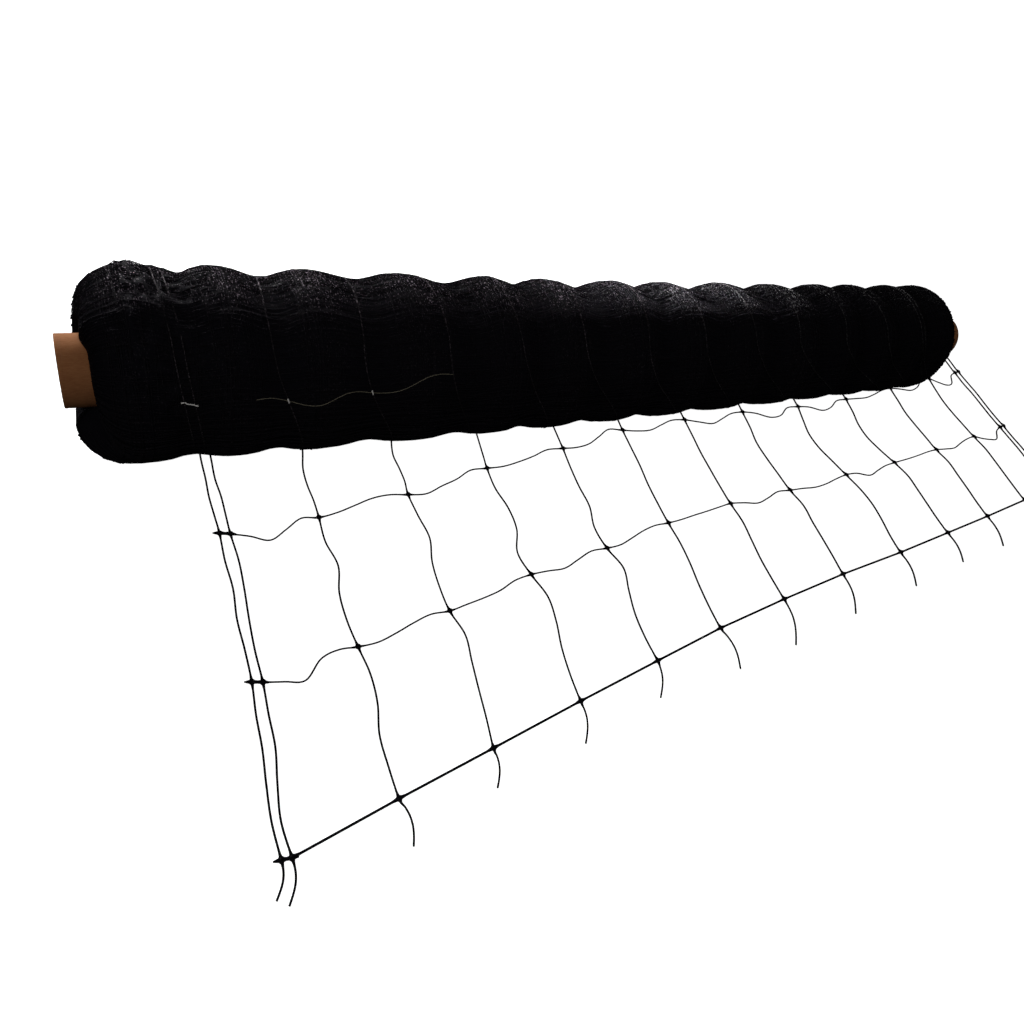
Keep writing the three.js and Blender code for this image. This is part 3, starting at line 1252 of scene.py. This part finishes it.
NET = (
    NetStrand(
        -617, 2, -10, -1, 171, 369, 556, 34, -12,
        (-0.5, 1.6, -1.2, 0), (-1.2, -0.6, -2.4, -3.2), (-1, -1, -2, -1),
    ),
    NetStrand(
        -606, 3, -11, -1, 174, 372, 557, 41, -12,
        (2.8, 2, 0, -1), (0.4, 1.6, -2.2, -4.7), (-1, -2, 0, 0),
    ),
    NetStrand(
        -495, 1, -6, 10, 168, 355, 534, 50, 0,
        (-1, 5.6, -2.7, -3.6), (5.5, 4.7, -2.4, -2), (-3, -7, -6, -2),
    ),
    NetStrand(
        -372, 4, -10, 12, 151, 334, 512, 43, -12,
        (3.4, 8.1, 0, -2), (10, 7.5, 5, 3), (-5, -7, -3, 0),
    ),
    NetStrand(-244, 6, -10, 11, 123, 306, 488, 50, -17, (0, 7.2, 6.5, -6.4), (11.4, 9.5, 2.9, 0)),
    NetStrand(-113, 13, -11, 5, 103, 288, 465, 47, -22, (-1.3, -1, 1.8, -5.3), (12, 4.5, -2, -2.8)),
    NetStrand(10, 14, -13, 5, 80, 265, 444, 62, -5, (0, 0, -2.1, -1.6), (3.4, 3, 0, -1.2)),
    NetStrand(143, 14, -12, 4, 72, 250, 426, 70, -28, (-1.3, -3.2, -2.8, -1.9), (4, 1.4, -1.4, -1.2)),
    NetStrand(278, 13, -9, 6, 68, 244, 410, 66, -26, (-3.3, -9.5, -8, -4), (8, 5.3, 4.2, 2.6)),
    NetStrand(423, 5, -6, 6, 69, 232, 397, 62, -18, (-10, -19, -18, -9), (9.5, 13, 9.5, 3)),
    NetStrand(559, 3, -4, 6, 63, 223, 382, 58, -16, (-6.8, -17, -19, -11), (9, 7, 4, 1)),
    NetStrand(693, 13, -10, 6, 46, 209, 368, 62, -20, (-3.5, -8, -6.5, -3), (8, 6, 4, 1)),
    NetStrand(828, 15, -12, 6, 30, 192, 352, 54, -15, (-5, -9, -8, -4), (6, 5, 3, 1)),
    NetStrand(930, 11, -10, 0, 20, 178, 338, 48, -12, (-1, 1, 0, -1), (1, 1.5, -1, -1)),
    NetStrand(944, 11, -10, 0, 18, 176, 336, 42, -12, (1, 2, 0, -1), (0, 1.5, -2, -2)),
)
FAR_STARTS = {
    12: ((600, 12), (640, 36), (678, 58), (722, 62), (787, 32), (843, 4)),
    13: ((562, 14), (606, 48), (660, 82), (728, 105), (856, 119), (941, 59)),
    14: ((580, 12), (620, 42), (668, 72), (728, 91), (865, 105), (955, 59)),
}
FIRST_LINE = (
    (8.7, 19.7, 8.6, -3.9), (-0.5, -4.5, -8.6, -7.3), (7.9, 4, 1, -5.8), (4, 3, 0, -5),
    (5.6, 6, -1.6, -9.4), (6.3, 9, 2.5, -3.6), (8.4, 16, 8.5, 0), (5.5, 18, 16, 0),
    (4.7, 17, 13, 0), (4, 7.5, 4.7, 0), (7.8, 17, 13, 0), (14, 26, 25, 5),
)
SECOND_LINE = (
    (8.4, 15.8, -2, -5), (3.8, 1.3, -2.8, -5), (1.4, 2.8, 2.6, -1.8), (3.1, 7.5, 1.9, -3.7),
    (3.1, 0, -3.7, -4.4), (1, 0.5, 0.5, 0), (3.9, 10, 4.8, -2.4), (3, 7.2, 6.5, 2.5),
    (2.2, 12.5, 7, 1.5), (0.4, 0.6, 0, -1), (5, 9, 4, 0), (10, 18, 22, 6),
)
CUT_EDGE = (STRAIGHT,) * len(SECOND_LINE)


@dataclass
class LooseNet:
    """The loose end of the net on the floor; sizes in millimetres."""

    shape: RollShape
    along: float = 1.32
    across: float = 1.18
    edge: float = 1.6
    bar: float = 2.3
    bar_shares: tuple[float, ...] = (0.35, 0.85, 1.15, 0.85, 1.15, 0.55)
    stub: float = 8.0
    inner_stub: float = 0.8
    rest: float = 1.5
    step: float = 4.0
    tail_bow: float = 0.12
    tail_parts: int = 5
    flare: float = 0.95
    flare_reach: float = 4.5
    thicker: float = 0.00016
    knot: float = 3.8
    knot_form: Triple = (1.0, 1.0, 0.62)
    knot_rounds: int = 2
    knot_within: float = 0.01
    sides: int = 8

    def build(self, strand: bpy.types.Material) -> None:
        """Makes the net and lets it stand for its solid.

        Args:
            strand: the net's finish.
        """
        pattern = Pattern()
        for index, row in enumerate(NET):
            self._add(pattern, self._along(index), row.knots(), self.along, True)
        for line, bends in enumerate((FIRST_LINE, SECOND_LINE, CUT_EDGE)):
            tied = [row.knots()[line] for row in NET]
            girth = self.edge if bends is CUT_EDGE else self.across
            self._add(pattern, self._across(tied[1:-1], bends), tied[1:-1], girth, False)
            self._add_bar(pattern, tied[0], tied[1])
            self._add_bar(pattern, tied[-1], tied[-2])
        sizes = {
            "Strand Radius": MM,
            "Sides": self.sides,
            "Knot Radius": self.knot * MM,
            "Knot Rounds": self.knot_rounds,
            "Knot Form": self.knot_form,
            "Material": strand,
        }
        enrol(StrandTree(Lay.FLAT).make("loose_net_strands", pattern, sizes), PLASTIC_SLOT, "loose_net")

    def _lay(
        self, pattern: Pattern, run: Sequence[Vector], girth: Sequence[float], knots: Sequence[float]
    ) -> None:
        """Adds a run that lies on the floor."""
        lifted = [Vector((p.x, p.y, max(self.rest, thick))) * MM for p, thick in zip(run, girth)]
        pattern.add(lifted, girth, knots)

    def _add(
        self, pattern: Pattern, points: Sequence[Vector], knots: Sequence[Vector], radius: float, tied: bool
    ) -> None:
        """Adds one strand that flares at its knots.

        Args:
            pattern: the net's runs.
            points: the strand's points on the floor.
            knots: the places where it is tied.
            radius: its radius away from them.
            tied: whether the knots' beads are set by this strand.
        """
        run = catmull(points, self.step)
        girth, sizes = [], []
        for point in run:
            gap = min((point - knot).length for knot in knots)
            full = radius * (1.0 + self.thicker * point.x)
            girth.append(full * (1 + self.flare * math.exp(-((gap / self.flare_reach) ** 2))))
            sizes.append(1.0 if tied and gap < self.knot_within else 0.0)
        self._lay(pattern, run, girth, sizes)

    def _add_bar(self, pattern: Pattern, outer: Vector, inner: Vector) -> None:
        """Adds the thick bar that ties the two strands of a selvage, with a blunt stub outside it.

        Args:
            pattern: the net's runs.
            outer: the outer strand's knot.
            inner: the inner strand's knot.
        """
        step = (inner - outer).normalized() * self.stub
        start = [outer - step, outer - 0.5 * step, outer]
        run = [*start, outer.lerp(inner, 0.5), inner, inner + self.inner_stub * step]
        self._lay(pattern, run, [self.bar * share for share in self.bar_shares], [0.0] * len(run))

    @staticmethod
    def _bent(start: Vector, end: Vector, bends: Bends, side: Vector) -> list[Vector]:
        """Gives a cell of a strand: points at its fifths, each moved to the side by its bend, and the end."""
        parts = len(bends) + 1
        return [*(start.lerp(end, i / parts) + side * bend for i, bend in enumerate(bends, 1)), end]

    def _along(self, index: int) -> list[Vector]:
        """Gives a strand from the roll through its knots to its cut tail.

        Args:
            index: the strand's place in the net.

        Returns:
            The strand's points on the floor.
        """
        row = NET[index]
        knots = row.knots()
        side = Vector((1.0, 0.0, 0.0))
        points = self._lead_in(index, knots[0], side)
        points += self._bent(knots[0], knots[1], row.first_cell, side)
        points += self._bent(knots[1], knots[2], row.second_cell, side)
        tip = knots[2] + Vector((row.sway, -row.tail, 0.0))
        for i in range(1, self.tail_parts + 1):
            t = i / self.tail_parts
            points.append(knots[2].lerp(tip, t) + side * (self.tail_bow * row.tail * math.sin(math.pi * t)))
        return points

    def _lead_in(self, index: int, first: Vector, side: Vector) -> list[Vector]:
        """Gives a strand's start: out from under the roll, or drawn in behind its far end.

        Args:
            index: the strand's place in the net.
            first: its first knot.
            side: the direction of its swings.

        Returns:
            The points up to the first knot.
        """
        if index in FAR_STARTS:
            return [*(Vector((x, y, 0.0)) for x, y in FAR_STARTS[index]), first]
        x = first.x + NET[index].root
        drop = self.shape.axis_height(x) - 2 * self.rest
        root = Vector((x, self.shape.outside_y(x) - math.sqrt(self.shape.mean(x) ** 2 - drop ** 2), 0.0))
        return [root, *self._bent(root, first, NET[index].lead, side)]

    def _across(self, knots: Sequence[Vector], line: Sequence[Bends]) -> list[Vector]:
        """Gives a cross strand through its knots.

        Args:
            knots: its knots, from the near selvage to the far one.
            line: its bends, cell by cell.

        Returns:
            The strand's points on the floor.
        """
        points = [knots[0]]
        for start, end, bends in zip(knots, knots[1:], line):
            points += self._bent(start, end, bends, Vector((0.0, -1.0, 0.0)))
        return points


@dataclass
class OuterTurn:
    """The last turn of the net on the roll, which the loose end is pulled from.

    Sizes are in millimetres and turns in degrees up from the front of the roll. The exits are the places
    where the strands leave the roll, row_turns the turns of the front cross strand on them, and row_steps
    the turns from there to each cross strand. A point of the tie bar is a step along the roll and a turn.
    """

    shape: RollShape
    top_start: float = -642.0
    pitch: float = 105.0
    selvage_gap: float = 11.0
    along: float = 0.75
    across: float = 0.65
    faint: float = 0.5
    joint: float = 0.9
    joint_turns: tuple[float, ...] = (-1.4, 0.0, 1.8)
    tie_bar: tuple[Span, ...] = ((-9.0, 0.4), (-5.0, 0.6), (-3.0, -0.6), (4.0, -1.6), (8.0, -2.6))
    # The first cells of the front cross strand and its joints take pale finishes that paint their highlights.
    highlighted_cells: int = 3
    highlighted_start: int = 4
    lift: float = 0.9
    sides: int = 6
    first_turn: float = -38.0
    turn_step: float = 4.0
    turn_points: int = 73
    cross_step: float = 9.0
    cell_parts: int = 6
    cell_wave: float = 3.2
    lean_span: Span = (-45.0, 50.0)
    swing: float = 3.5
    swing_rate: float = 2.4
    swing_phase: float = 1.7
    row_steps: tuple[float, ...] = (0.0, 100.0, 196.0)
    row_turns: tuple[float, ...] = (22, 20, 23, 34, 37, 38, 40, 41, 42, 44, 45, 46, 47)
    exits: tuple[float, ...] = (-617, -501, -381, -262, -135, -15, 105, 228, 352, 482, 612, 680, 716)

    def build(
        self, strand: bpy.types.Material, faint: bpy.types.Material, joint_highlight: bpy.types.Material
    ) -> None:
        """Makes the turn's strands, its front cross strand and that strand's joints.

        Args:
            strand: the finish of the strands.
            faint: the finish of the front cross strand, pale so that it paints a faint highlight on the
                strand.
            joint_highlight: the finish of its joints, paler still, which paints bright highlights where they
                catch the light.
        """
        sizes = {
            "Strand Radius": MM,
            "Sides": self.sides,
            "Knot Radius": MM,
            "Knot Rounds": 1,
            "Knot Form": ROUND_KNOT,
        }
        tree = StrandTree(Lay.FLAT)
        for name, pattern, finish in (
            ("outer_turn_strands", self._strands(), strand),
            ("outer_turn_front", self._front(), faint),
            ("outer_turn_joints", self._joints(), joint_highlight),
        ):
            enrol(tree.make(name, pattern, sizes | {"Material": finish}), PLASTIC_SLOT)

    def _strands(self) -> Pattern:
        """Gives the strands round the roll, double at both selvages, and the two cross strands behind.

        Returns:
            The strands.
        """
        pattern = Pattern()
        last = len(self.exits) - 1
        turns = [self.first_turn + self.turn_step * i for i in range(self.turn_points)]
        for k in range(last + 1):
            offsets = (-self.selvage_gap / 2, self.selvage_gap / 2) if k in (0, last) else (0.0,)
            for offset in offsets:
                self._add(pattern, [self._spot(k, turn, offset) for turn in turns], self.along)
        for row in (1, 2):
            points = [self._spot(0, self._row_turn(0, row), -self.selvage_gap)]
            for k in range(last):
                points += self._cell(k, row)
            self._add(pattern, catmull(points, self.cross_step), self.across)
        return pattern

    def _front(self) -> Pattern:
        """Gives the part of the front cross strand that shows.

        Returns:
            The strand.
        """
        pattern = Pattern()
        points = [point for k in range(self.highlighted_cells) for point in self._cell(k, 0)]
        self._add(pattern, catmull(points[self.highlighted_start - 1:], self.cross_step), self.faint)
        return pattern

    def _joints(self) -> Pattern:
        """Gives the front cross strand's joints and the tie bar of the near selvage.

        Returns:
            The joints and the bar.
        """
        pattern = Pattern()
        for k in range(1, self.highlighted_cells):
            joint = [self._spot(k, self.row_turns[k] + step, 0.0) for step in self.joint_turns]
            self._add(pattern, joint, self.joint)
        bar = [self._spot(0, self.row_turns[0] + rise, offset) for offset, rise in self.tie_bar]
        self._add(pattern, bar, self.joint)
        return pattern

    @staticmethod
    def _add(pattern: Pattern, run: Sequence[Vector], girth: float) -> None:
        """Adds a run of even girth without knots."""
        pattern.add([point * MM for point in run], [girth] * len(run), [0.0] * len(run))

    def _row_turn(self, k: int, row: int) -> float:
        """Gives the turn at which a strand is tied to a cross strand."""
        return self.row_turns[k] + self.row_steps[row]

    def _cell(self, k: int, row: int) -> list[Vector]:
        """Gives the points of a cross strand from one strand of the turn to the next.

        Args:
            k: the number of the strand that it comes from.
            row: the number of the cross strand.

        Returns:
            The points, without the first.
        """
        start, end = self._row_turn(k, row), self._row_turn(k + 1, row)
        points = []
        for i in range(1, self.cell_parts + 1):
            t = i / self.cell_parts
            turn = start + (end - start) * t - self.cell_wave * math.sin(math.tau * t)
            here, there = self._x(k, turn), self._x(k + 1, turn)
            points.append(self._on_roll(here + (there - here) * t, turn))
        return points

    def _x(self, k: int, turn: float) -> float:
        """Gives a strand's place along the roll.

        Args:
            k: the strand's number.
            turn: the turn up from the front.

        Returns:
            The place, which moves from the strand's exit to its row on top.
        """
        top = self.top_start + self.pitch * k
        share = smooth(turn, *self.lean_span)
        swing = self.swing * math.sin(math.radians(self.swing_rate * turn) + self.swing_phase * k)
        return self.exits[k] + (top - self.exits[k]) * share + swing

    def _spot(self, k: int, turn: float, offset: float) -> Vector:
        """Gives a strand's point at a turn up from the front."""
        return self._on_roll(self._x(k, turn) + offset, turn)

    def _on_roll(self, x: float, turn: float) -> Vector:
        """Gives a point just over the winding."""
        inside = min(max(x, self.shape.ridges[0]), self.shape.ridges[-1])
        return self.shape.place(inside, self.shape.ridged(inside), 180.0 - turn, self.lift)


@dataclass(frozen=True)
class Softbox:
    """A square soft lamp: its place, aim and side in metres, its power in watts and its beam in degrees."""

    name: str
    place: Triple
    aim: Triple
    side: float
    power: float
    beam: float

    def build(self) -> None:
        """Makes the lamp."""
        data = bpy.data.lights.new(self.name, "AREA")
        data.size = self.side
        data.energy = self.power
        data.spread = math.radians(self.beam)
        lamp = bpy.data.objects.new(self.name, data)
        lamp.location = self.place
        lamp.rotation_euler = (Vector(self.aim) - Vector(self.place)).to_track_quat("-Z", "Y").to_euler()
        bpy.context.scene.collection.objects.link(lamp)


@dataclass
class Studio:
    """Camera at the photograph's angle, white floor, and soft light from behind the roll and in front."""

    eye: Triple = (-0.725, -0.73334, 0.830)
    right: Triple = (0.8832, -0.3662, 0.2931)
    forward: Triple = (0.4493, 0.4812, -0.7527)
    lens: float = 27.6
    sensor: float = 36.0
    nearest: float = 0.02
    floor_size: float = 80.0
    floor_drop: float = 0.0002
    wall_height: float = 60.0
    sky: float = 0.15
    sky_rise: Span = (0.1, 0.9)
    sky_low: Colour = (0.0, 0.0, 0.0)
    sky_high: Colour = (1.0, 1.0, 1.0)
    lamps: tuple[Softbox, ...] = (
        Softbox("softbox_behind", (-0.5, 2.4, 0.9), (-0.34, 0.0, 0.2), side=1.2, power=9.0, beam=32.0),
        Softbox("softbox_far", (0.1, 2.4, 0.9), (0.08, 0.0, 0.19), side=0.3, power=2.8, beam=9.5),
        Softbox("softbox_front", (-1.3, -1.5, 2.2), (-0.3, 0.0, 0.1), side=1.2, power=6.0, beam=120.0),
    )

    def build(self) -> None:
        """Makes the camera, floor, sky and lamps."""
        self._camera()
        self._floor()
        self._sky()
        for lamp in self.lamps:
            lamp.build()
        bpy.context.scene.view_settings.view_transform = "Standard"

    def _camera(self) -> None:
        """Makes the camera with the photograph's place, turn and lens."""
        data = bpy.data.cameras.new("camera")
        data.lens = self.lens
        data.sensor_width = self.sensor
        data.clip_start = self.nearest
        back = -Vector(self.forward).normalized()
        right = Vector(self.right)
        right = (right - back * right.dot(back)).normalized()
        turned = Matrix((right, back.cross(right), back)).transposed().to_4x4()
        camera = bpy.data.objects.new("camera", data)
        camera.matrix_world = Matrix.Translation(self.eye) @ turned
        bpy.context.scene.collection.objects.link(camera)
        bpy.context.scene.camera = camera

    def _floor(self) -> None:
        """Makes the floor and the far white walls round it, which aren't part of the object."""
        half = self.floor_size / 2
        corners = ((-half, -half), (half, -half), (half, half), (-half, half))
        count = len(corners)
        points = [(x, y, z) for z in (0.0, self.wall_height) for x, y in corners]
        walls = [(i, i + count, (i + 1) % count + count, (i + 1) % count) for i in range(count)]
        mesh = bpy.data.meshes.new("floor")
        mesh.from_pydata(points, [], [tuple(range(count)), *walls])
        mesh.materials.append(PaleFloor().build())
        floor = bpy.data.objects.new("floor", mesh)
        floor.location.z = -self.floor_drop
        floor.visible_diffuse = False
        floor.visible_glossy = False
        bpy.context.scene.collection.objects.link(floor)

    def _sky(self) -> None:
        """Makes a sky that is black below the horizon and white overhead."""
        world = bpy.data.worlds.new("sky")
        world.use_nodes = True
        world.node_tree.nodes.clear()
        graph = Graph(world.node_tree)
        _, _, height = graph.split(graph.node("ShaderNodeTexCoord", out="Generated"))
        colour = graph.mix(graph.ramp(height, *self.sky_rise), self.sky_low, self.sky_high)
        light = graph.node("ShaderNodeBackground", inputs={"Color": colour, "Strength": self.sky})
        graph.node("ShaderNodeOutputWorld", inputs={"Surface": light})
        bpy.context.scene.world = world


def main() -> None:
    """Builds the studio and the roll's pieces in order."""
    logging.basicConfig(level=logging.INFO, format="%(name)s %(message)s")
    Studio().build()
    shape = RollShape()
    strand = NetPlastic("strand_plastic")
    wound = NetPlastic("wound_plastic", fleck_from=0.63, depth=0.001, ridges=shape.ridges)
    drawn = NetPlastic("drawn_plastic", black=(0.0074, 0.0065, 0.0086), ridges=shape.ridges)
    # The outer turn's painted glints are dimmer, and more of them show lower on the roll.
    outer = NetPlastic(
        "outer_plastic",
        black=(0.011, 0.0095, 0.011),
        warm=(0.2, 0.165, 0.19),
        silver=(0.2, 0.195, 0.2),
        fleck_from=0.5,
        beneath=0.25,
    )
    # The next two pale finishes paint highlights: a faint one on the front cross strand and bright ones on
    # its joints.
    faint = NetPlastic(
        "faint_painted_highlight",
        black=(0.15, 0.135, 0.1),
        warm=(0.25, 0.23, 0.18),
        silver=(0.25, 0.23, 0.2),
        specular=0.1,
    )
    joint_highlight = NetPlastic(
        "bright_painted_highlight",
        black=(0.75, 0.73, 0.7),
        warm=(0.85, 0.83, 0.8),
        silver=(0.85, 0.84, 0.82),
        specular=0.3,
    )
    CoreTube(shape).build(KraftBoard().build())
    Winding(shape).build(wound.build(), drawn.build())
    OuterTurn(shape).build(outer.build(), faint.build(), joint_highlight.build())
    LooseNet(shape).build(strand.build())


if __name__ == "__main__":
    main()
